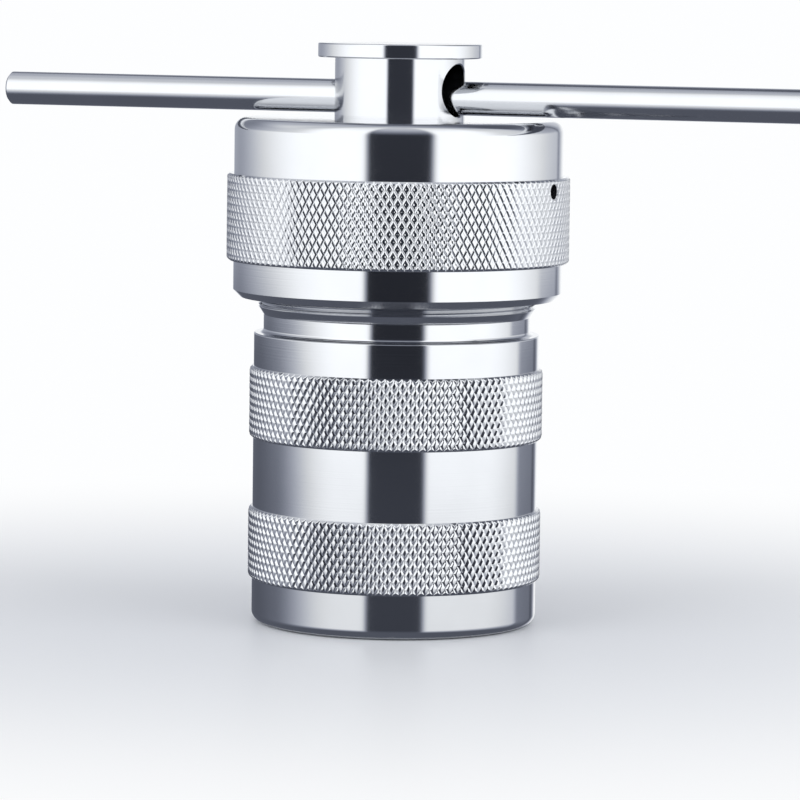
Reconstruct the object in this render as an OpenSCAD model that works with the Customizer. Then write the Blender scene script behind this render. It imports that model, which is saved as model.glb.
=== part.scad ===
// Hydrothermal reactor: a stainless vessel with a fluoropolymer liner, closed by
// a screw cap that a sliding bar turns.  Millimetres, +Z up, origin at the
// centre of the base, the bar lying along X.

/* [Vessel] */
// Diameter of the plain turned bands
body_d = 68; // [66:0.5:70]
// Diameter over the two knurled bands
body_knurl_d = 70; // [69.5:0.5:72]
// Height of the shoulder below the neck
shoulder_h = 69.1; // [66:0.1:72]
// Height of the rim
rim_h = 101; // [99:0.5:102]
// Bottom of the lower knurled band
lower_knurl_z = 10.5; // [6:0.5:12]
// Bottom of the upper knurled band
upper_knurl_z = 44.1; // [42:0.1:46]
// Height of each knurled band
body_knurl_h = 17; // [12:0.5:18]
// Diameter of the screw thread
thread_d = 66; // [65:0.5:66.5]
// Diameter of the relieved neck below the thread
neck_d = 63.5; // [62:0.5:64]
// Diameter of the bore that takes the liner
vessel_bore_d = 55.4; // [54:0.2:57]
// Thickness of the floor
floor_t = 9; // [6:0.5:10]
// Hole in the floor through which the liner is pushed out
knock_out_d = 8; // [5:0.5:12]

/* [Liner] */
// Diameter of the cavity
cavity_d = 43; // [38:0.5:46]
// Thickness of the cup's floor
cup_floor_t = 6; // [4:0.5:8]
// Height of the cup's rim above the base
cup_rim_z = 96; // [92:0.5:97]
// Thickness of the lid's rim
lid_t = 7; // [6:0.5:8]
// Depth of the lid's plug
plug_h = 6; // [4:0.5:8]
// Thickness of the steel pad under the cup
lower_pad_t = 3; // [2:0.5:4]

/* [Cap] */
// Height of the cap's lower face above the base, screwed down
cap_z = 77.6; // [76.5:0.1:79]
// Height of the cap without its boss
cap_h = 42.5; // [41:0.1:44]
// Diameter of the plain bands
cap_d = 78.2; // [76:0.1:79]
// Diameter over the knurled band
cap_knurl_d = 81.5; // [80:0.5:84]
// Height of the knurled band
cap_knurl_h = 20.6; // [18:0.1:22]
// Bottom of the knurled band above the cap's lower face
cap_knurl_rise = 8.7; // [6:0.1:10]
// Radius of the rounded upper edge
cap_edge_r = 2.9; // [1:0.1:4]
// Diameter of the boss
boss_d = 30.7; // [28:0.1:32]
// Height of the boss below its flange
boss_h = 14.4; // [14:0.1:18]
// Diameter of the flange
flange_d = 39; // [35:0.5:42]
// Thickness of the flange
flange_t = 3.4; // [2:0.1:4]
// Diameter of the vent hole
vent_d = 3.6; // [2:0.1:5]

/* [Knurling] */
// Depth of the grooves
knurl_depth = 0.75; // [0.3:0.05:0.8]
// Points round the cap's band
cap_points = 106; // [60:2:130]
// Rows of points up the cap's band
cap_rows = 10; // [6:1:12]
// Points round each band of the body
body_points = 90; // [50:2:110]
// Rows of points up each band of the body
body_rows = 8; // [5:1:10]

/* [Bar] */
// Diameter of the bar
bar_d = 8; // [7:0.1:9]
// Length of the bar
bar_l = 206; // [120:1:260]
// Diameter of the cross bore in the boss
cross_bore_d = 12.4; // [12:0.1:13]
// Angle at which the bar lies across its loose bore
bar_skew = 4; // [0:0.5:7]

/* [Hidden] */
$fn = 128;
eps = 1;                            // overshoot of a cut past its face

steel = "silver";
liner_white = "whitesmoke";

// clearances
slip = 0.2;                         // liner and pads in their bores, radial
thread_gap = 0.1;                   // cap thread on vessel thread, radial
stub_gap = 0.1;                     // pad stub in the cap, radial
stub_end_gap = 0.5;                 // room over the end of the stub
bar_gap = 0.06;                     // bar above the bore it lies in

// small edges
base_edge_r = 2.4;
cove_r = 1;
edge_chamfer = 0.4;
mouth_chamfer = 0.4;
thread_chamfer = 1.2;
cap_foot_chamfer = 1.7;
plug_chamfer = 1;
cavity_corner_r = 4;
knurl_end_dish = 1;

// the stack inside, from the floor up
cup_z = floor_t + lower_pad_t;
lid_top_z = cup_rim_z + lid_t;
pad_t = 5;
ceiling_z = lid_top_z + pad_t;
cap_top_z = cap_z + cap_h;
boss_top_z = cap_top_z + boss_h;

// the neck: its relief ends in a cone that leads up to the thread
thread_z = shoulder_h + 6.2;
relief_top_z = thread_z - (thread_d - neck_d) / 2;

// the pad's stub, and the groove that its snap ring sits in
stub_d = 16;
stub_h = 6;
ring_z = ceiling_z + 3.4;
ring_t = 1;
ring_groove_t = 1.2;
ring_groove_depth = 1;

// the thread ends in an undercut above the rim
undercut_z = rim_h + 0.6;
undercut_d = thread_d + 2.8;

// the vent leaves the undercut, on the side that the cross bore faces
vent_z = cap_z + 26.8;
vent_angle = -4.4;
cross_bore_z = cap_top_z + 6.95;
bar_drop = sqrt(pow((cross_bore_d - bar_d) / 2 - bar_gap, 2)
                - pow(boss_d / 2 * sin(bar_skew), 2));
bar_z = cross_bore_z - bar_drop;

// ---- turning ----

// A turned length between two heights
module turned(d, z1, z2) {
  translate([0, 0, z1]) cylinder(d = d, h = z2 - z1);
}

// A turned cone between two heights
module tapered(d1, d2, z1, z2) {
  translate([0, 0, z1]) cylinder(d1 = d1, d2 = d2, h = z2 - z1);
}

// A disc with the same chamfer on its upper and lower edge
module chamfered_disc(d, z1, z2, c) {
  tapered(d - 2 * c, d, z1, z1 + c);
  turned(d, z1 + c, z2 - c);
  tapered(d, d - 2 * c, z2 - c, z2);
}

// A disc whose lower edge is rounded
module round_footed_disc(d, z1, z2, r) {
  rotate_extrude() {
    translate([0, z1 + r]) square([d / 2, z2 - z1 - r]);
    translate([0, z1]) square([d / 2 - r, z2 - z1]);
    intersection() {
      translate([d / 2 - r, z1 + r]) circle(r);
      translate([0, z1]) square([d / 2, z2 - z1]);
    }
  }
}

// The concave ring that blends a stem into the face it stands on
module cove(d, z, r) {
  rotate_extrude() difference() {
    translate([d / 2 - r, z - r]) square([2 * r, 2 * r]);
    translate([d / 2 + r, z + r]) circle(r);
  }
}

// A knurled length of a turned part.  Two crossed sets of grooves leave rows of
// four-sided points, each row set half a pitch on from the last.  The points'
// corners lie in the grooves, their tips stand between, and the end rows are halved.
// The ends are dished a little towards the axis.
module knurled(d, z1, z2, around, rows) {
  half_pitch = 180 / around;
  row_h = (z2 - z1) / rows;
  root = d / 2 - knurl_depth;
  end_tip = d / 2 - knurl_depth / 3;

  function at(r, k, j) = [r * cos(k * half_pitch), r * sin(k * half_pitch), z1 + j * row_h];
  function tip_r(j) = j == 0 || j == rows ? end_tip : d / 2;
  function corner(i, j) = j * around + i % around;
  function tip(i, j) = (rows + 1) * around + corner(i, j);
  function right(i, j) = corner(i + 1, j);
  function low(i, j) = corner(i + j % 2, j - 1);
  function high(i, j) = corner(i + j % 2, j + 1);

  corners = [for (j = [0 : rows], i = [0 : around - 1]) at(root, 2 * i + j % 2, j)];
  tips = [for (j = [0 : rows], i = [0 : around - 1]) at(tip_r(j), 2 * i + 1 + j % 2, j)];
  upper_sides = [for (j = [0 : rows - 1], i = [0 : around - 1])
    each [[corner(i, j), high(i, j), tip(i, j)], [tip(i, j), high(i, j), right(i, j)]]];
  lower_sides = [for (j = [1 : rows], i = [0 : around - 1])
    each [[corner(i, j), tip(i, j), low(i, j)], [low(i, j), tip(i, j), right(i, j)]]];
  low_centre = 2 * (rows + 1) * around;
  high_centre = low_centre + 1;
  lower_end = [for (i = [0 : around - 1])
    each [[corner(i, 0), tip(i, 0), low_centre], [tip(i, 0), right(i, 0), low_centre]]];
  upper_end = [for (i = [0 : around - 1])
    each [[tip(i, rows), corner(i, rows), high_centre], [right(i, rows), tip(i, rows), high_centre]]];
  polyhedron(concat(corners, tips, [[0, 0, z1 + knurl_end_dish], [0, 0, z2 - knurl_end_dish]]),
             concat(upper_sides, lower_sides, lower_end, upper_end));
}

// A radial hole with a countersunk mouth
module side_hole(d, r, angle, z, depth) {
  rotate([0, 0, angle]) translate([r - depth, 0, z]) rotate([0, 90, 0]) {
    cylinder(d = d, h = depth + eps);
    translate([0, 0, depth - mouth_chamfer - knurl_depth])
      cylinder(d1 = d, d2 = d + 2 * (mouth_chamfer + knurl_depth + eps),
               h = mouth_chamfer + knurl_depth + eps);
  }
}

// ---- vessel ----

module vessel_outside() {
  round_footed_disc(body_d, 0, shoulder_h - edge_chamfer, base_edge_r);
  tapered(body_d, body_d - 2 * edge_chamfer, shoulder_h - edge_chamfer, shoulder_h);
  for (z = [lower_knurl_z, upper_knurl_z])
    knurled(body_knurl_d, z, z + body_knurl_h, body_points, body_rows);
  cove(neck_d, shoulder_h, cove_r);
  turned(neck_d, shoulder_h - eps, relief_top_z + eps);
  tapered(neck_d, thread_d, relief_top_z, thread_z);
  turned(thread_d, thread_z, rim_h - thread_chamfer);
  tapered(thread_d, thread_d - 2 * thread_chamfer, rim_h - thread_chamfer, rim_h);
}

module vessel_body() {
  color(steel) difference() {
    vessel_outside();
    turned(vessel_bore_d, floor_t, rim_h + eps);
    tapered(vessel_bore_d, vessel_bore_d + 4 * eps, rim_h - eps, rim_h + eps);
    turned(knock_out_d, -eps, floor_t + eps);
  }
}

module lower_pad() {
  color(steel) chamfered_disc(vessel_bore_d - 2 * slip, floor_t, cup_z, edge_chamfer);
}

// ---- liner ----

// The cup is bored with a round corner at its floor
module liner_cup() {
  cavity_z = cup_z + cup_floor_t;
  color(liner_white) difference() {
    chamfered_disc(vessel_bore_d - 2 * slip, cup_z, cup_rim_z, edge_chamfer);
    round_footed_disc(cavity_d, cavity_z, cup_rim_z + eps, cavity_corner_r);
  }
}

// The lid's plug goes down into the cup and its rim covers the cup's rim
module liner_lid() {
  plug_d = cavity_d - 2 * slip;
  plug_z = cup_rim_z - plug_h;
  color(liner_white) {
    chamfered_disc(vessel_bore_d - 2 * slip, cup_rim_z, lid_top_z, edge_chamfer);
    tapered(plug_d - 2 * plug_chamfer, plug_d, plug_z, plug_z + plug_chamfer);
    turned(plug_d, plug_z + plug_chamfer, cup_rim_z + eps);
  }
}

// ---- cap ----

// The pad takes the cap's thrust; its stub hangs in the cap and lets it turn
module pressure_pad() {
  color(steel) difference() {
    union() {
      chamfered_disc(vessel_bore_d - 4 * slip, lid_top_z, ceiling_z, edge_chamfer);
      turned(stub_d, ceiling_z - eps, ceiling_z + stub_h - edge_chamfer);
      tapered(stub_d, stub_d - 2 * edge_chamfer, ceiling_z + stub_h - edge_chamfer,
              ceiling_z + stub_h);
    }
    difference() {
      turned(stub_d + 2, ring_z - 0.1, ring_z + ring_groove_t + 0.1);
      turned(stub_d - 2 * ring_groove_depth, ring_z - eps, ring_z + ring_groove_t + eps);
    }
  }
}

// The ring springs into the stub's groove, and its gap lets it open over the stub
module pad_snap_ring() {
  gap = 4;
  color(steel) difference() {
    turned(stub_d + 1.8 * ring_groove_depth, ring_z, ring_z + ring_t);
    turned(stub_d - 1.4 * ring_groove_depth, ring_z - eps, ring_z + ring_t + eps);
    translate([0, -gap / 2, ring_z - eps]) cube([stub_d, gap, ring_t + 2 * eps]);
  }
}

module cap_outside() {
  knurl_z = cap_z + cap_knurl_rise;
  tapered(cap_d - 2 * cap_foot_chamfer, cap_d, cap_z, cap_z + cap_foot_chamfer);
  turned(cap_d, cap_z + cap_foot_chamfer, cap_top_z - cap_edge_r);
  rotate_extrude() {
    translate([0, cap_top_z - cap_edge_r - eps]) square([cap_d / 2 - cap_edge_r, cap_edge_r + eps]);
    intersection() {
      translate([cap_d / 2 - cap_edge_r, cap_top_z - cap_edge_r]) circle(cap_edge_r);
      translate([0, cap_top_z - cap_edge_r]) square([cap_d / 2, cap_edge_r]);
    }
  }
  knurled(cap_knurl_d, knurl_z, knurl_z + cap_knurl_h, cap_points, cap_rows);
  turned(boss_d, cap_top_z - eps, boss_top_z + eps);
  chamfered_disc(flange_d, boss_top_z, boss_top_z + flange_t, edge_chamfer);
}

module cap_inside() {
  thread_bore_d = thread_d + 2 * thread_gap;
  tapered(thread_bore_d + 4, thread_bore_d, cap_z - eps, cap_z + eps);
  turned(thread_bore_d, cap_z - eps, undercut_z + eps);
  turned(undercut_d, undercut_z, ceiling_z);
  turned(stub_d + 2 * stub_gap, ceiling_z - eps, ceiling_z + stub_h + stub_end_gap);
  turned(stub_d + 2 * ring_groove_depth, ring_z, ring_z + ring_groove_t);
}

module screw_cap() {
  color(steel) difference() {
    cap_outside();
    cap_inside();
    rotate([0, 0, -bar_skew]) translate([-flange_d / 2, 0, cross_bore_z]) rotate([0, 90, 0])
      cylinder(d = cross_bore_d, h = flange_d);
    side_hole(vent_d, cap_knurl_d / 2, vent_angle, vent_z, (cap_knurl_d - thread_d) / 2);
  }
}

// ---- bar ----

module tommy_bar() {
  c = 0.6;
  color(steel) translate([-bar_l / 2, 0, bar_z]) rotate([0, 90, 0]) {
    cylinder(d1 = bar_d - 2 * c, d2 = bar_d, h = c);
    translate([0, 0, c]) cylinder(d = bar_d, h = bar_l - 2 * c);
    translate([0, 0, bar_l - c]) cylinder(d1 = bar_d, d2 = bar_d - 2 * c, h = c);
  }
}

vessel_body();
lower_pad();
liner_cup();
liner_lid();
pressure_pad();
pad_snap_ring();
screw_cap();
tommy_bar();
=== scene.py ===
import bpy
import numpy as np
from math import acos, atan2, cos, hypot, pi, radians, sin, tan
from mathutils import Matrix, Vector


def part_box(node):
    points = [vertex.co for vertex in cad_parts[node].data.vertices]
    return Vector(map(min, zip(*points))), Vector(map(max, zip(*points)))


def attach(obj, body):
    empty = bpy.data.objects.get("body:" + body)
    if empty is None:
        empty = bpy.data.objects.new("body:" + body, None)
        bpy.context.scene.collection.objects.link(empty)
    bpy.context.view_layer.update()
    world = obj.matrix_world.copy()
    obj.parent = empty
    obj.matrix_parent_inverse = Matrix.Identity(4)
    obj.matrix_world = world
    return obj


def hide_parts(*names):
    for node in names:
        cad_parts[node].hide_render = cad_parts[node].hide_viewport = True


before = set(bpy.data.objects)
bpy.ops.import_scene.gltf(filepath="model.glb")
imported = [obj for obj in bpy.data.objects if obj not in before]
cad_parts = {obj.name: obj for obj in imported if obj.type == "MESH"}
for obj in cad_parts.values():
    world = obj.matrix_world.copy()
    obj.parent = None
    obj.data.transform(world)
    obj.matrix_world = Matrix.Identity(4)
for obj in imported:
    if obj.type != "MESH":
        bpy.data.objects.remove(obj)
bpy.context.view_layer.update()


# ---- Camera ----
# A long lens a metre off, a little higher than the top of the cap and 22 degrees
# round towards the bar's right end, rolled by less than a degree.

MM = 0.001
camera_side = radians(22)
camera_roll = radians(0.76)
camera_back = 1030 * MM
camera_up = 153 * MM
aim_up, aim_right = 53 * MM, 1 * MM
camera_place = Vector((camera_back * sin(camera_side), -camera_back * cos(camera_side), camera_up))
to_the_right = Vector((cos(camera_side), sin(camera_side), 0))
camera_data = bpy.data.cameras.new("camera")
camera_data.sensor_width = 36
camera_data.lens = 194.97
camera_data.clip_start = 0.05
camera_data.clip_end = 20
camera = bpy.data.objects.new("camera", camera_data)
bpy.context.scene.collection.objects.link(camera)
aim = Vector((0, 0, aim_up)) + to_the_right * aim_right
look = (aim - camera_place).to_track_quat("-Z", "Y").to_matrix().to_4x4()
camera.matrix_world = Matrix.Translation(camera_place) @ look @ Matrix.Rotation(camera_roll, 4, "Z")
bpy.context.scene.camera = camera
bpy.context.scene.view_settings.view_transform = "Standard"


# ---- Floor ----
# A plain pale floor that fades to white away from the object.  The metal mirrors only
# the part right under it, and beyond that the room round the table.

floor_reach, floor_edge = 33 * MM, 3.0
table_z, table_hole = -0.02 * MM, 0.05 * MM
fade_from, fade_to = 50 * MM, 300 * MM
white_light = (0.985, 0.992, 1.0, 1)


def soft_step(x, low, high):
    t = np.clip((np.asarray(x, float) - low) / (high - low), 0, 1)
    return t * t * (3 - 2 * t)


def plain_mesh(name, points, faces):
    mesh = bpy.data.meshes.new(name)
    mesh.from_pydata([list(map(float, p)) for p in points], [], [list(map(int, f)) for f in faces])
    obj = bpy.data.objects.new(name, mesh)
    bpy.context.scene.collection.objects.link(obj)
    return obj


def ring_of_floor(name, r_in, r_out, height):
    steps = 160
    turn = np.arange(steps) * 2 * pi / steps
    edge = [np.stack([r * np.cos(turn), r * np.sin(turn), 0 * turn + height], 1) for r in (r_in, r_out)]
    faces = [(i, i + steps, (i + 1) % steps + steps, (i + 1) % steps) for i in range(steps)]
    return plain_mesh(name, np.vstack(edge), faces)


floor_near = ring_of_floor("floor_near", table_hole, floor_reach, table_z)
floor_far = ring_of_floor("floor_far", floor_reach, floor_edge, table_z)
floor_far.visible_glossy = False
floor_material = bpy.data.materials.new("pale_floor")
floor_material.use_nodes = True
nodes, links = floor_material.node_tree.nodes, floor_material.node_tree.links
shader = nodes["Principled BSDF"]
shader.inputs["Roughness"].default_value = 0.42
place = nodes.new("ShaderNodeTexCoord")
grain = nodes.new("ShaderNodeTexNoise")
grain.inputs["Scale"].default_value = 9
tone = nodes.new("ShaderNodeValToRGB")
tone.color_ramp.elements[0].color = (0.84, 0.86, 0.90, 1)
tone.color_ramp.elements[1].color = (0.86, 0.88, 0.92, 1)
links.new(place.outputs["Object"], grain.inputs["Vector"])
links.new(grain.outputs["Fac"], tone.inputs["Fac"])
links.new(tone.outputs["Color"], shader.inputs["Base Color"])
distance = nodes.new("ShaderNodeVectorMath")
distance.operation = "LENGTH"
links.new(place.outputs["Object"], distance.inputs[0])
fade = nodes.new("ShaderNodeMapRange")
fade.interpolation_type = "SMOOTHSTEP"
fade.inputs["From Min"].default_value = fade_from
fade.inputs["From Max"].default_value = fade_to
links.new(distance.outputs["Value"], fade.inputs["Value"])
white = nodes.new("ShaderNodeEmission")
white.inputs["Color"].default_value = white_light
blend = nodes.new("ShaderNodeMixShader")
links.new(fade.outputs["Result"], blend.inputs[0])
links.new(shader.outputs[0], blend.inputs[1])
links.new(white.outputs[0], blend.inputs[2])
links.new(blend.outputs[0], nodes["Material Output"].inputs["Surface"])
for part in (floor_near, floor_far):
    part.data.materials.append(floor_material)


# ---- Light ----
# An even pale surround and two large soft lamps.  The polished metal mirrors a room
# of its own: white cloth to the left and right, a dark gap between them in front, a
# white backdrop behind, and a grey ceiling.

# the surround lights the pieces at this level, and shows as full white
light_level = 0.72
lamp_size, lamp_away, lamp_up, lamp_aim = 1.2, 1.5, 1.3, 0.06
world = bpy.data.worlds.new("studio")
bpy.context.scene.world = world
world.use_nodes = True
surround = world.node_tree.nodes["Background"]
surround.inputs["Color"].default_value = white_light
surround.inputs["Strength"].default_value = light_level
sky_links = world.node_tree.links
ray = world.node_tree.nodes.new("ShaderNodeLightPath")
seen = world.node_tree.nodes.new("ShaderNodeMath")
seen.operation = "MAXIMUM"
seen_clear = world.node_tree.nodes.new("ShaderNodeMath")
seen_clear.operation = "MAXIMUM"
strength = world.node_tree.nodes.new("ShaderNodeMapRange")
strength.inputs["To Min"].default_value = light_level
strength.inputs["To Max"].default_value = 1.0
sky_links.new(ray.outputs["Is Camera Ray"], seen.inputs[0])
sky_links.new(ray.outputs["Is Glossy Ray"], seen.inputs[1])
sky_links.new(seen.outputs[0], seen_clear.inputs[0])
sky_links.new(ray.outputs["Is Transmission Ray"], seen_clear.inputs[1])
sky_links.new(seen_clear.outputs[0], strength.inputs["Value"])
sky_links.new(strength.outputs["Result"], surround.inputs["Strength"])

for side, watts in ((-50, 7.0), (55, 6.0)):
    lamp_data = bpy.data.lights.new("soft_lamp", "AREA")
    lamp_data.shape = "RECTANGLE"
    lamp_data.size = lamp_size
    lamp_data.size_y = lamp_size
    lamp_data.energy = watts
    lamp = bpy.data.objects.new("soft_lamp", lamp_data)
    bpy.context.scene.collection.objects.link(lamp)
    heading = camera_side + radians(side)
    lamp.location = (lamp_away * sin(heading), -lamp_away * cos(heading), lamp_up)
    lamp.rotation_euler = (Vector((0, 0, lamp_aim)) - lamp.location).to_track_quat("-Z", "Y").to_euler()
    lamp.visible_glossy = False
    lamp.visible_camera = False

# The mirrored room is a dome of light levels.  az goes round to the right from the
# front and el upwards, both in degrees
across, upward = 180, 90
azimuths = np.linspace(-180, 180, across + 1)[:-1]
heights = np.linspace(-89, 89, upward)
az, el = np.meshgrid(azimuths, heights)

# the dark gap, a little lighter above and below, and the cloth on both sides of it
cloth_level, gap_level = 1.52, 0.03
room = gap_level + 0.022 * (1 - soft_step(-el, 1, 3)) + 0.04 * soft_step(-el, 5, 7)
left_cloth = (1 - soft_step(az, -25, -20)) * (0.27 + 0.73 * soft_step(az, -150, -66))
left_low = 1 - 0.78 * soft_step(-az, 46, 112)
right_cloth = soft_step(az, 21, 27.4) * (1 - 0.55 * soft_step(az, 76, 146))
right_low = 1 - 0.66 * soft_step(az, 112, 120)
low_down = soft_step(-el, 2.5, 5.5)
by_the_floor = 1 - 0.1 * soft_step(-el, 5, 7) - 0.2 * soft_step(-el, 7, 9)
room = room + cloth_level * left_cloth * (1 - low_down * (1 - left_low)) * by_the_floor
room = room + cloth_level * right_cloth * (1 - low_down * (1 - right_low)) * by_the_floor

# the backdrop, with a thin dark slit where it meets the right-hand cloth
backdrop_level, slit_az, slit_width = 1.1, 148, 3.0
backdrop = soft_step(np.abs(az), 152, 163) * (az > 0) + soft_step(-az, 168, 178)
room = room * (1 - backdrop) + backdrop_level * backdrop
slit = np.exp(-((az - slit_az) / slit_width) ** 2)
room = room * (1 - 0.55 * slit)

# the ceiling comes down lower in front and behind, and is darker behind
in_front = soft_step(-np.abs(az - 2), -30, -18)
behind = soft_step(az, 92, 112) + soft_step(-az, 156, 168)
ceiling_from = 34 - 28 * in_front - 22 * behind
ceiling_to = 105 - 55 * behind - 27 * in_front
ceiling = soft_step((el - ceiling_from) / (ceiling_to - ceiling_from), 0, 1)
room = room + 0.5 * soft_step(el, 25, 45) * soft_step(-az, 84, 110) * (1 - behind)
overhead = 0.80 - 0.58 * behind * (1 - soft_step(el, 56, 80))
room = room * (1 - ceiling) + overhead * ceiling
beside = soft_step(el, 4, 13) * soft_step(np.abs(az), 56, 82)
room = room * (1 - 0.34 * beside)

# the ground round the table
ground_level = 0.14
ground = soft_step(-el, 6, 36)
room = room * (1 - ground) + ground_level * ground

dome_r, dome_z = 2.5, 0.07
spread = dome_r * np.cos(np.radians(el))
heading = camera_side + np.radians(az)
dome_points = np.stack([spread * np.sin(heading), -spread * np.cos(heading),
                        dome_z + dome_r * np.sin(np.radians(el))], -1).reshape(-1, 3)
faces = []
for i in range(upward - 1):
    for j in range(across):
        k = (j + 1) % across
        faces.append((i * across + j, i * across + k, (i + 1) * across + k, (i + 1) * across + j))
dome = plain_mesh("studio_room", dome_points, faces)
level = dome.data.attributes.new("level", "FLOAT", "POINT")
level.data.foreach_set("value", room.reshape(-1).astype(np.float32))
dome_material = bpy.data.materials.new("studio_cloth")
dome_material.use_nodes = True
nodes, links = dome_material.node_tree.nodes, dome_material.node_tree.links
nodes.remove(nodes["Principled BSDF"])
glow = nodes.new("ShaderNodeEmission")
picked = nodes.new("ShaderNodeAttribute")
picked.attribute_name = "level"
tint = nodes.new("ShaderNodeValToRGB")
tint.color_ramp.elements[0].color = (0.80, 0.88, 1.15, 1)
tint.color_ramp.elements[1].color = (0.97, 0.985, 1.0, 1)
links.new(picked.outputs["Fac"], tint.inputs["Fac"])
links.new(tint.outputs["Color"], glow.inputs["Color"])
links.new(picked.outputs["Fac"], glow.inputs["Strength"])
links.new(glow.outputs["Emission"], nodes["Material Output"].inputs["Surface"])
dome.data.materials.append(dome_material)
dome.visible_camera = False
dome.visible_diffuse = False
dome.visible_shadow = False


# ---- Vessel body ----
# One piece turned from stainless bar and bored for the liner: a round foot, two
# diamond-knurled bands to grip, a shoulder, a relieved neck and a fine thread.
# The knurling is rolled, so each band has its own slight unevenness.

# steps round the axis, and round a rounded corner
around, corner_steps = 256, 9


# A shell gathers the patches of one piece, each with its own normals
def new_shell():
    return {"points": [], "normals": [], "quads": [], "tris": [], "count": 0}


def add_grid(shell, points, normals, wrap):
    rows, columns = points.shape[:2]
    i = np.arange(rows - 1)[:, None]
    j = np.arange(columns if wrap else columns - 1)[None, :]
    k = (j + 1) % columns
    start = shell["count"]
    quads = np.stack([i * columns + j, i * columns + k, (i + 1) * columns + k,
                      (i + 1) * columns + j], -1).reshape(-1, 4) + start
    shell["points"].append(points.reshape(-1, 3))
    shell["normals"].append(normals.reshape(-1, 3))
    shell["quads"].append(quads)
    shell["count"] += rows * columns


def add_facets(shell, points, tris):
    corner = points[tris]
    flat = np.cross(corner[:, 1] - corner[:, 0], corner[:, 2] - corner[:, 0])
    normals = np.zeros_like(points)
    for c in range(3):
        np.add.at(normals, tris[:, c], flat)
    normals /= np.maximum(np.linalg.norm(normals, axis=1, keepdims=True), 1e-18)
    shell["points"].append(points)
    shell["normals"].append(normals)
    shell["tris"].append(tris + shell["count"])
    shell["count"] += len(points)


# The outline runs with the metal on its left.  A third number rounds that corner
def turn_outline(shell, corners, steps=around):
    turn = np.arange(steps) * 2 * pi / steps

    def revolve(r, z, nr, nz):
        c, s, one = np.cos(turn), np.sin(turn), np.ones(steps)
        points = np.stack([np.outer(r, c), np.outer(r, s), np.outer(z, one)], -1)
        normals = np.stack([np.outer(nr, c), np.outer(nr, s), np.outer(nz, one)], -1)
        add_grid(shell, points * MM, normals, True)

    spots = [np.array(c[:2], float) for c in corners]
    here = spots[0]
    for n in range(1, len(corners)):
        tip = spots[n]
        rounding = corners[n][2] if len(corners[n]) > 2 and n < len(corners) - 1 else 0
        way = (tip - here) / np.linalg.norm(tip - here)
        out = np.array([way[1], -way[0]])
        end = tip
        if rounding:
            back, on = -way, (spots[n + 1] - tip) / np.linalg.norm(spots[n + 1] - tip)
            half = acos(np.clip(back @ on, -1, 1)) / 2
            end = tip + back * rounding / tan(half)
            leave = tip + on * rounding / tan(half)
            middle = tip + (back + on) / np.linalg.norm(back + on) * rounding / sin(half)
        revolve([here[0], end[0]], [here[1], end[1]], [out[0]] * 2, [out[1]] * 2)
        if rounding:
            first, last = end - middle, leave - middle
            start = atan2(first[1], first[0])
            sweep = (atan2(last[1], last[0]) - start + pi) % (2 * pi) - pi
            a = start + sweep * np.linspace(0, 1, corner_steps)
            sign = 1 if first @ out > 0 else -1
            revolve(middle[0] + rounding * np.cos(a), middle[1] + rounding * np.sin(a),
                    sign * np.cos(a), sign * np.sin(a))
            end = leave
        here = end


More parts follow.
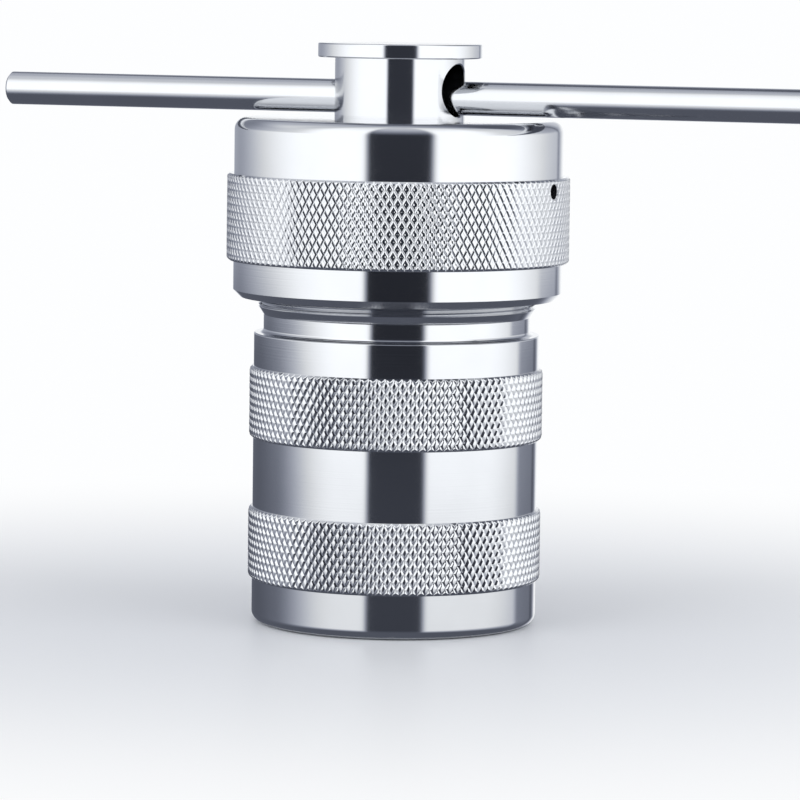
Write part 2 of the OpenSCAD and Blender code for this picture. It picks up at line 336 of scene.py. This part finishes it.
# Two crossed sets of grooves leave diamonds.  Across half a diamond, from the groove
# to the middle, a profile's places say where the rows of points lie, its depths how far
# they are below the tips, its slopes how steeply the metal falls there, and its crown
# how far the corners fall off.  One set of grooves is pressed deeper than the other by
# bias (how much, and on which side of the work).  No two diamonds are quite alike
def knurl(shell, tip_r, z1, z2, diamonds, rows, profile, bias, end_r, seed, hole=None):
    height_error, lean_error, corner_share = 0.02, 0.04, 0.6
    places, depths, slopes, crown = (profile[k] for k in ("places", "depths", "slopes", "crown"))
    mirrored = [n for n in range(len(places) - 1, -1, -1) if places[n] != 0.5]
    marks = np.array(places + [1 - places[n] for n in mirrored])
    cut = np.array(depths + [depths[n] for n in mirrored])
    fall = np.array([-f for f in slopes] + [slopes[n] for n in mirrored])
    fine = len(marks) - 1
    columns, levels = diamonds * fine, rows * fine + 1
    wide, tall = pi * tip_r / diamonds, (z2 - z1) / rows

    # a staggered grid of triangles, whose two slanting ways u and v follow the grooves
    tris = []
    for b in range(levels - 1):
        p = np.arange(columns)
        up = p + b % 2
        below = ((p, b), (p + 1, b), (up, b + 1))
        above = ((p + 1 - b % 2, b), (p + 1, b + 1), (p, b + 1))
        for corners in (below, above):
            steps = [np.stack([2 * c + row % 2, 0 * c + row], -1) for c, row in corners]
            tris.append(np.stack(steps, 1))
    a, b = np.moveaxis(np.concatenate(tris), 2, 0)
    u, v = (a + b) // 2, (a - b) // 2
    cell_u = np.floor(u.mean(1) / fine).astype(int)[:, None]
    cell_v = np.floor(v.mean(1) / fine).astype(int)[:, None]
    in_u, in_v = u - cell_u * fine, v - cell_v * fine
    chance = np.random.default_rng(seed)
    uneven = chance.uniform(-1, 1, (3, diamonds, rows + 2))
    which = (cell_u + cell_v) // 2 % diamonds, (cell_u - cell_v) // 2 % (rows + 2)
    lean_u, lean_v, sunk = uneven[:, which[0], which[1]]

    # where each point lies, and how deep
    off_u, off_v = marks[in_u] - 0.5, marks[in_v] - 0.5
    at_u, at_v = cell_u + marks[in_u], cell_v + marks[in_v]
    z = z1 + (at_u - at_v) * tall
    turn = (at_u + at_v) * pi / diamonds
    swing = bias[0] * np.cos(turn - radians(bias[1]))
    depth = np.maximum(cut[in_u] * (1 - swing), cut[in_v] * (1 + swing))
    depth = depth + crown * (off_u ** 2 + off_v ** 2) + height_error * (1 + sunk)

    # which way the metal faces there
    steep = 0.5 * hypot(1 / wide, 1 / tall)
    only_u, only_v = cut[in_u] > cut[in_v], cut[in_v] > cut[in_u]
    share_u = (1 - swing) * np.where(only_v, 0, np.where(only_u, 1, corner_share)) / steep
    share_v = (1 + swing) * np.where(only_u, 0, np.where(only_v, 1, corner_share)) / steep
    fall_u = fall[in_u] * share_u + 2 * crown * off_u
    fall_v = fall[in_v] * share_v + 2 * crown * off_v
    fall_u, fall_v = fall_u + lean_error * lean_u, fall_v + lean_error * lean_v
    tilt_x, tilt_z = (fall_u + fall_v) / (2 * wide), (fall_u - fall_v) / (4 * tall)

    # the band's bevelled ends
    to_end = np.minimum(z - z1, z2 - z)
    bevel = tip_r - depth > end_r + to_end
    r = np.where(bevel, end_r + to_end, tip_r - depth)
    tilt_x = np.where(bevel, 0, tilt_x)
    tilt_z = np.where(bevel, np.where(z > (z1 + z2) / 2, 1, -1), tilt_z)

    # a drilled hole with a flat rim: points within it move out to its edge
    lost = np.zeros(len(turn), bool)
    if hole:
        side = (turn - hole["angle"] + pi) % (2 * pi) - pi
        x, y = tip_r * np.sin(side), z - hole["z"]
        reach = np.where(np.abs(side) < 0.3, np.hypot(x, y), 99)
        near = reach < hole["r"] + hole["rim"]
        r = np.where(near, tip_r - hole["rim_depth"], r)
        tilt_x = np.where(near, 0, tilt_x)
        tilt_z = np.where(near, 0, tilt_z)
        inside = reach < hole["r"] + 0.02
        grow = np.where(inside, hole["r"] / np.maximum(reach, 1e-6), 1)
        moved = hole["angle"] + np.arcsin(np.clip(x * grow / tip_r, -1, 1))
        turn = np.where(inside, moved, turn)
        z = np.where(inside, hole["z"] + y * grow, z)
        lost = inside.all(1)
        edges = np.stack([inside, np.roll(inside, -1, 1)], -1).all(2) & ~lost[:, None]
    ways = np.stack([np.cos(turn), np.sin(turn)], -1)
    points = np.concatenate([r[..., None] * ways, z[..., None]], -1) * MM
    sideways = np.stack([-np.sin(turn), np.cos(turn)], -1) * tilt_x[..., None]
    normals = np.concatenate([ways + sideways, tilt_z[..., None]], -1)
    normals /= np.linalg.norm(normals, axis=2, keepdims=True)

    # triangles of one diamond share their points, and neighbouring diamonds don't
    key = (((a % (2 * columns)) * levels + b) * (2 * diamonds + 4) + cell_u % (2 * diamonds)) * 4 * rows
    key = key + (cell_u - cell_v) % (4 * rows)
    _, first, index = np.unique(key[~lost], return_index=True, return_inverse=True)
    shell["points"].append(points[~lost].reshape(-1, 3)[first])
    shell["normals"].append(normals[~lost].reshape(-1, 3)[first])
    shell["tris"].append(index.reshape(-1, 3) + shell["count"])
    shell["count"] += len(first)
    if hole:
        ends = np.stack([points, np.roll(points, -1, 1)], 2)[edges]
        axis = np.array([cos(hole["angle"]), sin(hole["angle"]), 0])
        deep = ends - (ends @ axis)[..., None] * axis + axis * hole["inner_r"] * MM
        wall = np.stack([ends[:, 1], ends[:, 0], deep[:, 0], deep[:, 1]], 1).reshape(-1, 3)
        inward = np.array([0, 0, hole["z"] * MM]) - wall
        inward -= (inward @ axis)[:, None] * axis
        inward /= np.linalg.norm(inward, axis=1, keepdims=True)
        hole["wall"]["points"].append(wall)
        hole["wall"]["normals"].append(inward)
        hole["wall"]["quads"].append(np.arange(len(wall)).reshape(-1, 4))


# A right-hand thread of 1 mm pitch between two heights, run out at its ends by limit(z, r)
def screw_thread(shell, root_r, crest_r, z1, z2, limit, inside, steps=128):
    pitch, flank = 1.0, 0.36
    crest_and_root_z = np.array([0.0, 0.14, 0.5, 0.64])
    crest_and_root = np.array([1.0, 1.0, 0.0, 0.0])
    turns = int((z2 - z1) / pitch) + 2
    along = (np.arange(turns)[:, None] + crest_and_root_z).reshape(-1)
    height = np.tile(crest_and_root, turns)
    turn = np.arange(steps + 1) * 2 * pi / steps
    z = z1 - pitch + along[:, None] * pitch + pitch * turn[None, :] / (2 * pi)
    r = root_r + (crest_r - root_r) * height[:, None] + 0 * z
    clipped = np.clip(z, z1, z2)
    fade = np.clip(np.abs(z - clipped) / flank, 0, 1)
    r = limit(clipped, r * (1 - fade) + root_r * fade)
    points = np.stack([r * np.cos(turn), r * np.sin(turn), clipped], -1) * MM
    rows, columns = z.shape
    index = np.arange(rows * columns).reshape(rows, columns)
    a, b, c, d = index[:-1, :-1], index[:-1, 1:], index[1:, 1:], index[1:, :-1]
    tris = np.vstack([np.stack([a, b, c], -1).reshape(-1, 3), np.stack([a, c, d], -1).reshape(-1, 3)])
    level_z = clipped.reshape(-1)[tris]
    tris = tris[np.ptp(level_z, axis=1) > 1e-9]
    if inside:
        tris = tris[:, ::-1]
    add_facets(shell, points.reshape(-1, 3), tris)


# Makes one object of a shell's patches, on its body, in place of its nodes
def finish_shell(shell, name, material, body, slot, *stands_for):
    points = np.vstack(shell["points"])
    normals = np.vstack(shell["normals"])
    faces = []
    for kind in ("quads", "tris"):
        if shell[kind]:
            faces += np.vstack(shell[kind]).tolist()
    mesh = bpy.data.meshes.new(name)
    mesh.from_pydata(points.tolist(), [], faces)
    mesh.polygons.foreach_set("use_smooth", np.ones(len(mesh.polygons), bool))
    mesh.normals_split_custom_set_from_vertices(normals.tolist())
    mesh.materials.append(material)
    obj = bpy.data.objects.new(name, mesh)
    bpy.context.scene.collection.objects.link(obj)
    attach(obj, body)
    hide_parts(*stands_for)
    return obj


# Turned stainless: fine tool marks that run round the axis, and a faint haze
def turned_steel(name, roughness, mark_depth, dark, light):
    material = bpy.data.materials.new(name)
    material.use_nodes = True
    nodes, links = material.node_tree.nodes, material.node_tree.links
    shader = nodes["Principled BSDF"]
    shader.inputs["Metallic"].default_value = 1.0
    place = nodes.new("ShaderNodeTexCoord")
    split = nodes.new("ShaderNodeSeparateXYZ")
    flat = nodes.new("ShaderNodeCombineXYZ")
    radius = nodes.new("ShaderNodeVectorMath")
    radius.operation = "LENGTH"
    along = nodes.new("ShaderNodeMath")
    along.operation = "ADD"
    links.new(place.outputs["Object"], split.inputs[0])
    links.new(split.outputs["X"], flat.inputs["X"])
    links.new(split.outputs["Y"], flat.inputs["Y"])
    links.new(flat.outputs[0], radius.inputs[0])
    links.new(radius.outputs["Value"], along.inputs[0])
    links.new(split.outputs["Z"], along.inputs[1])
    marks = nodes.new("ShaderNodeTexNoise")
    marks.noise_dimensions = "1D"
    marks.inputs["Scale"].default_value = 2600
    marks.inputs["Detail"].default_value = 3
    links.new(along.outputs[0], marks.inputs["W"])
    bump = nodes.new("ShaderNodeBump")
    bump.inputs["Strength"].default_value = 0.25
    bump.inputs["Distance"].default_value = mark_depth * MM
    links.new(marks.outputs["Fac"], bump.inputs["Height"])
    links.new(bump.outputs["Normal"], shader.inputs["Normal"])
    haze = nodes.new("ShaderNodeTexNoise")
    haze.inputs["Scale"].default_value = 60
    haze.inputs["Detail"].default_value = 4
    links.new(place.outputs["Object"], haze.inputs["Vector"])
    rough = nodes.new("ShaderNodeMapRange")
    rough.inputs["From Min"].default_value = 0.3
    rough.inputs["From Max"].default_value = 0.7
    rough.inputs["To Min"].default_value = roughness * 0.85
    rough.inputs["To Max"].default_value = roughness * 1.2
    links.new(haze.outputs["Fac"], rough.inputs["Value"])
    links.new(rough.outputs["Result"], shader.inputs["Roughness"])
    tone = nodes.new("ShaderNodeValToRGB")
    tone.color_ramp.elements[0].position = 0.3
    tone.color_ramp.elements[0].color = (*dark, 1)
    tone.color_ramp.elements[1].position = 0.7
    tone.color_ramp.elements[1].color = (*light, 1)
    links.new(haze.outputs["Fac"], tone.inputs["Fac"])
    links.new(tone.outputs["Color"], shader.inputs["Base Color"])
    return material


steel_dark, steel_light = (0.635, 0.645, 0.665), (0.675, 0.685, 0.705)
polished = turned_steel("polished_steel", 0.09, 0.006, steel_dark, steel_light)

vessel = new_shell()
vessel_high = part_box("vessel_body")[1]
band_r = vessel_high.x / MM
plain_r = band_r - 1
rim_z = vessel_high.z / MM
knock_out_r, floor_z, bore_r = 4, 9, 27.7
lower_band_z, lower_band_top = 10.5, 27.5
upper_band_z, upper_band_top = 44.1, 61.1
shoulder_z, neck_r, thread_r = 69.1, 31.75, 33
thread_root_r = thread_r - 0.6
thread_z = shoulder_z + 6.2
relief_z, cone_r, cone_slope = thread_z - 1.9, thread_r - 0.05, 1.6
foot_round, shoulder_edge, neck_fillet, floor_fillet = 2.4, 0.35, 1, 0.8
rim_chamfer, bore_chamfer = 0.6, 1
run_out_z = rim_z - rim_chamfer
body_end_r = plain_r + 0.25
body_around, body_rows = 110, 10
body_diamond = {"places": [0, 0.18, 0.32], "depths": [0.46, 0.2, 0.02], "slopes": [0.6, 0.6, 0.12],
                "crown": 0.12}
body_bands = ((lower_band_z, lower_band_top, 3, -48), (upper_band_z, upper_band_top, 5, -58))
for low, high, seed, lead in body_bands:
    knurl(vessel, band_r, low, high, body_around, body_rows, body_diamond, (0.4, lead), body_end_r, seed)
turn_outline(vessel, [(knock_out_r, 0), (plain_r, 0, foot_round), (plain_r, lower_band_z),
                      (body_end_r, lower_band_z)])
turn_outline(vessel, [(body_end_r, lower_band_top), (plain_r, lower_band_top),
                      (plain_r, upper_band_z), (body_end_r, upper_band_z)])
turn_outline(vessel, [(body_end_r, upper_band_top), (plain_r, upper_band_top),
                      (plain_r, shoulder_z, shoulder_edge), (neck_r, shoulder_z, neck_fillet),
                      (neck_r, relief_z), (cone_r, thread_z)])


# The thread's crests run out into the rim's chamfer above and the relief's cone below
def run_out(z, r):
    at_chamfer = thread_root_r + run_out_z - z
    at_cone = cone_r - cone_slope * (z - thread_z)
    return np.maximum(np.minimum(r, at_chamfer), at_cone)


screw_thread(vessel, thread_root_r, thread_r, thread_z, run_out_z, run_out, False)
turn_outline(vessel, [(thread_root_r, run_out_z), (thread_root_r - rim_chamfer, rim_z),
                      (bore_r + bore_chamfer, rim_z), (bore_r, rim_z - bore_chamfer),
                      (bore_r, floor_z, floor_fillet), (knock_out_r, floor_z), (knock_out_r, 0)])
finish_shell(vessel, "vessel", polished, "vessel", "vessel_steel", "vessel_body")


# ---- Screw cap ----
# One piece turned from larger bar, with a boss and flange on top for the bar, a
# rounded upper edge, a wide knurled band, and a thread and an undercut inside.
# The vent is drilled through the band into the undercut.

cap, vent = new_shell(), new_shell()
cap_low, cap_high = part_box("screw_cap")
cap_knurl_r = cap_high.y / MM
cap_z = cap_low.z / MM
cap_plain_r = 39.1
cap_top = cap_z + 42.5
boss_r, flange_r = 15.45, 19.5
boss_top, flange_top = cap_top + 14.4, cap_high.z / MM
cap_end_r = cap_knurl_r - 0.62
band_low, band_high = cap_z + 8.7, cap_z + 29.3
cap_bore_r, undercut_r, undercut_z, ceiling_z = 33.1, 34.4, 101.6, 108
foot_chamfer, top_round, flange_edge, undercut_fillet, lead_in = 1.7, 2.9, 0.35, 0.8, 1
axis_r = 0.01
cap_around, cap_rows = 132, 12
cap_diamond = {"places": [0, 0.155, 0.185, 0.42], "depths": [0.3, 0.04, 0, 0],
               "slopes": [0.6, 0.5, 0.05, -0.25], "crown": 0.05}
vent_hole = {"angle": radians(-4.4), "z": cap_z + 26.45, "r": 1.8, "rim": 0.25, "rim_depth": 0.25,
             "inner_r": 34.2, "wall": vent}
knurl(cap, cap_knurl_r, band_low, band_high, cap_around, cap_rows, cap_diamond, (0.2, 142), cap_end_r,
      11, hole=vent_hole)
turn_outline(cap, [(cap_bore_r + lead_in, cap_z), (cap_plain_r - foot_chamfer, cap_z),
                   (cap_plain_r, cap_z + foot_chamfer), (cap_plain_r, band_low), (cap_end_r, band_low)])
turn_outline(cap, [(cap_end_r, band_high), (cap_plain_r, band_high), (cap_plain_r, cap_top, top_round),
                   (boss_r, cap_top)])
turn_outline(cap, [(boss_r, boss_top), (flange_r, boss_top, flange_edge),
                   (flange_r, flange_top, flange_edge), (axis_r, flange_top)])

# the boss's wall, pierced on both sides by the skewed cross bore
cross_z, cross_r = cap_top + 6.95, 6.2
skew, lip = radians(-4), 0.25
mouth_steps, side_steps = 28, 14
end_steps, back_steps = 2 * mouth_steps, around // 2 - 2 * mouth_steps + 1
reach = radians(mouth_steps * 360 / around)


def bore_mouth(r, t):
    return np.stack([np.arcsin(r * np.cos(t) / boss_r), cross_z + r * np.sin(t)], 1)


for half_turn in (0, pi):
    facing = skew + half_turn
    rim = ([(reach * (2 * k / end_steps - 1), cap_top) for k in range(end_steps)]
           + [(reach, cap_top + (boss_top - cap_top) * k / side_steps) for k in range(side_steps)]
           + [(reach * (1 - 2 * k / end_steps), boss_top) for k in range(end_steps)]
           + [(-reach, boss_top - (boss_top - cap_top) * k / side_steps) for k in range(side_steps)])
    rim = np.array(rim)
    tall = np.where(rim[:, 1] > cross_z, boss_top - cross_z, cross_z - cap_top)
    t = np.arctan2((rim[:, 1] - cross_z) / tall, rim[:, 0] / reach)
    broken = bore_mouth(cross_r + lip, t)
    wall = np.array([rim] + [broken * (1 - w) + rim * w for w in (0.5, 0.2, 0.06, 0)])
    turn, z = facing + wall[..., 0], wall[..., 1]
    points = np.stack([boss_r * np.cos(turn), boss_r * np.sin(turn), z], -1) * MM
    normals = np.stack([np.cos(turn), np.sin(turn), 0 * z], -1)
    add_grid(cap, points, normals, True)

    # the broken edge of the bore, and half the bore
    ways = np.array([[cos(facing), sin(facing), 0], [-sin(facing), cos(facing), 0], [0, 0, 1]])
    outer_y, outer_z = (cross_r + lip) * np.cos(t), cross_z + (cross_r + lip) * np.sin(t)
    inner_y, inner_z = cross_r * np.cos(t), cross_z + cross_r * np.sin(t)
    outer = np.stack([np.sqrt(boss_r ** 2 - outer_y ** 2), outer_y, outer_z], 1)
    inner = np.stack([np.sqrt(boss_r ** 2 - inner_y ** 2) - lip, inner_y, inner_z], 1)
    middle = np.stack([0 * t, inner_y, inner_z], 1)
    to_axis = np.stack([0 * t, -np.cos(t), -np.sin(t)], 1)
    outward = np.stack([np.cos(wall[-1, :, 0]), np.sin(wall[-1, :, 0]), 0 * t], 1)
    edge = outward + to_axis
    edge /= np.linalg.norm(edge, axis=1, keepdims=True)
    for a, b, facing_way in ((outer, inner, edge), (inner, middle, to_axis)):
        add_grid(cap, np.array([a, b]) @ ways * MM, np.array([facing_way, facing_way]) @ ways, True)

    # the plain wall between the two mouths
    turn = facing + reach + (pi - 2 * reach) * np.linspace(0, 1, back_steps)
    points = np.stack([np.tile(boss_r * np.cos(turn), (2, 1)), np.tile(boss_r * np.sin(turn), (2, 1)),
                       np.repeat([[cap_top], [boss_top]], back_steps, 1)], -1) * MM
    normals = np.stack([np.tile(np.cos(turn), (2, 1)), np.tile(np.sin(turn), (2, 1)),
                        np.zeros((2, back_steps))], -1)
    add_grid(cap, points, normals, False)

# inside: the thread, the undercut, the ceiling and the recess for the pad's stub
recess_r, recess_top = 8.1, 114.5
groove_r, groove_z, groove_top = 9, 111.4, 112.6
inside_root_r, inside_around, inside_steps = cap_bore_r + 0.55, 128, 96
turn_outline(cap, [(axis_r, recess_top), (recess_r, recess_top), (recess_r, groove_top),
                   (groove_r, groove_top), (groove_r, groove_z), (recess_r, groove_z),
                   (recess_r, ceiling_z), (undercut_r, ceiling_z, undercut_fillet),
                   (undercut_r, undercut_z), (inside_root_r, undercut_z)], inside_around)
inside_z = cap_z + lead_in
screw_thread(cap, inside_root_r, cap_bore_r, inside_z, undercut_z, lambda z, r: r, True, inside_steps)
turn_outline(cap, [(inside_root_r, inside_z), (cap_bore_r + lead_in, cap_z)], inside_around)
finish_shell(cap, "cap", polished, "cap", "cap_steel", "screw_cap")
# the vent's wall is steel painted near-black: painted shade inside the drilled hole, not the metal's own
# colour; only its rougher finish is the drilling
vent_wall_painted_shade = turned_steel("vent_wall_painted_shade", 0.5, 0.03, (0.10, 0.10, 0.11), (0.16, 0.16, 0.17))
finish_shell(vent, "vent_wall", vent_wall_painted_shade, "cap", "cap_steel")


# ---- Tommy bar ----
# Ground stainless round bar with a small chamfer at each end.  It lies loose in the
# boss's cross bore and slides through it, to give the hand leverage on either side.

bar = new_shell()
bar_low, bar_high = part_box("tommy_bar")
bar_r = (bar_high.z - bar_low.z) / 2 / MM
bar_end = bar_high.x / MM
bar_z = (bar_high.z + bar_low.z) / 2
bar_chamfer, bar_around = 0.6, 128
turn_outline(bar, [(axis_r, -bar_end), (bar_r - bar_chamfer, -bar_end), (bar_r, -bar_end + bar_chamfer),
                   (bar_r, bar_end - bar_chamfer), (bar_r - bar_chamfer, bar_end), (axis_r, bar_end)],
             bar_around)

# the bar is turned upright and then laid along X
lie = np.array([[0, 0, -1], [0, 1, 0], [1, 0, 0]], float)
bar["points"] = [p @ lie + np.array([0, 0, bar_z]) for p in bar["points"]]
bar["normals"] = [n @ lie for n in bar["normals"]]
ground_steel = turned_steel("ground_bar_steel", 0.14, 0.006, steel_dark, steel_light)
finish_shell(bar, "bar", ground_steel, "bar", "bar_steel", "tommy_bar")


# ---- Liner cup and lid ----
# The cup that holds the charge and its plug-and-rim lid, turned from white
# fluoropolymer rod: waxy, faintly translucent, with soft edges.  The cup rests in the
# vessel's bore and the lid in the cup's mouth, with nothing to fix them.

white_liner = bpy.data.materials.new("white_fluoropolymer")
white_liner.use_nodes = True
nodes, links = white_liner.node_tree.nodes, white_liner.node_tree.links
shader = nodes["Principled BSDF"]
shader.inputs["Roughness"].default_value = 0.42
shader.inputs["Subsurface Weight"].default_value = 0.25
shader.inputs["Subsurface Radius"].default_value = (1.0, 0.95, 0.9)
shader.inputs["Subsurface Scale"].default_value = 0.002
place = nodes.new("ShaderNodeTexCoord")
cloud = nodes.new("ShaderNodeTexNoise")
cloud.inputs["Scale"].default_value = 45
tone = nodes.new("ShaderNodeValToRGB")
tone.color_ramp.elements[0].color = (0.80, 0.80, 0.78, 1)
tone.color_ramp.elements[1].color = (0.86, 0.86, 0.84, 1)
links.new(place.outputs["Object"], cloud.inputs["Vector"])
links.new(cloud.outputs["Fac"], tone.inputs["Fac"])
links.new(tone.outputs["Color"], shader.inputs["Base Color"])
marks = nodes.new("ShaderNodeTexWave")
marks.wave_type = "RINGS"
marks.rings_direction = "Z"
marks.inputs["Scale"].default_value = 600
marks.inputs["Distortion"].default_value = 0.6
bump = nodes.new("ShaderNodeBump")
bump.inputs["Strength"].default_value = 0.12
bump.inputs["Distance"].default_value = 0.02 * MM
links.new(place.outputs["Object"], marks.inputs["Vector"])
links.new(marks.outputs["Fac"], bump.inputs["Height"])
links.new(bump.outputs["Normal"], shader.inputs["Normal"])

cup_low, cup_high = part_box("liner_cup")
cup_r, cup_z, cup_top = cup_high.x / MM, cup_low.z / MM, cup_high.z / MM
cavity_r, cup_floor_z, plug_r = 21.5, cup_z + 6, 21.3
liner_edge, mouth_edge, plug_edge, cavity_fillet = 0.5, 0.4, 0.9, 4
liner_around = 192
cup = new_shell()
turn_outline(cup, [(axis_r, cup_z), (cup_r, cup_z, liner_edge), (cup_r, cup_top, liner_edge),
                   (cavity_r, cup_top, mouth_edge), (cavity_r, cup_floor_z, cavity_fillet),
                   (axis_r, cup_floor_z)], liner_around)
finish_shell(cup, "cup", white_liner, "vessel", "liner", "liner_cup")
lid_low, lid_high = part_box("liner_lid")
lid = new_shell()
lid_z, lid_top = lid_low.z / MM, lid_high.z / MM
turn_outline(lid, [(axis_r, lid_z), (plug_r, lid_z, plug_edge), (plug_r, cup_top),
                   (cup_r, cup_top, liner_edge), (cup_r, lid_top, liner_edge), (axis_r, lid_top)],
             liner_around)
finish_shell(lid, "lid", white_liner, "vessel", "liner", "liner_lid")


# ---- Pads and snap ring ----
# Two faced steel discs take the squeeze above and below the liner.  The upper one
# hangs in the cap by a grooved stub, and a split ring of spring steel keeps it there.

faced = turned_steel("faced_steel", 0.24, 0.03, (0.57, 0.575, 0.585), (0.62, 0.625, 0.635))
lower_low, lower_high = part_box("lower_pad")
lower_r, lower_z, lower_top = lower_high.x / MM, lower_low.z / MM, lower_high.z / MM
pad_edge, pad_around = 0.35, 192
lower = new_shell()
turn_outline(lower, [(axis_r, lower_z), (lower_r, lower_z, pad_edge), (lower_r, lower_top, pad_edge),
                     (axis_r, lower_top)], pad_around)
finish_shell(lower, "lower_disc", faced, "vessel", "pad_steel", "lower_pad")
pad_low, pad_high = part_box("pressure_pad")
pad = new_shell()
pad_r, pad_z, stub_top = pad_high.x / MM, pad_low.z / MM, pad_high.z / MM
pad_top, stub_r, stub_chamfer = pad_z + 5, 8, 0.4
stub_groove_r, stub_groove_z, stub_groove_top = 7, 111.3, 112.7
turn_outline(pad, [(axis_r, pad_z), (pad_r, pad_z, pad_edge), (pad_r, pad_top, pad_edge),
                   (stub_r, pad_top), (stub_r, stub_groove_z), (stub_groove_r, stub_groove_z),
                   (stub_groove_r, stub_groove_top), (stub_r, stub_groove_top),
                   (stub_r, stub_top - stub_chamfer), (stub_r - stub_chamfer, stub_top),
                   (axis_r, stub_top)], pad_around)
finish_shell(pad, "thrust_disc", faced, "thrust_pad", "pad_steel", "pressure_pad")

# the ring is the plain solid with its own finish
spring = turned_steel("blued_spring_steel", 0.3, 0.01, (0.12, 0.125, 0.14), (0.17, 0.175, 0.19))
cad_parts["pad_snap_ring"].data.materials.clear()
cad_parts["pad_snap_ring"].data.materials.append(spring)
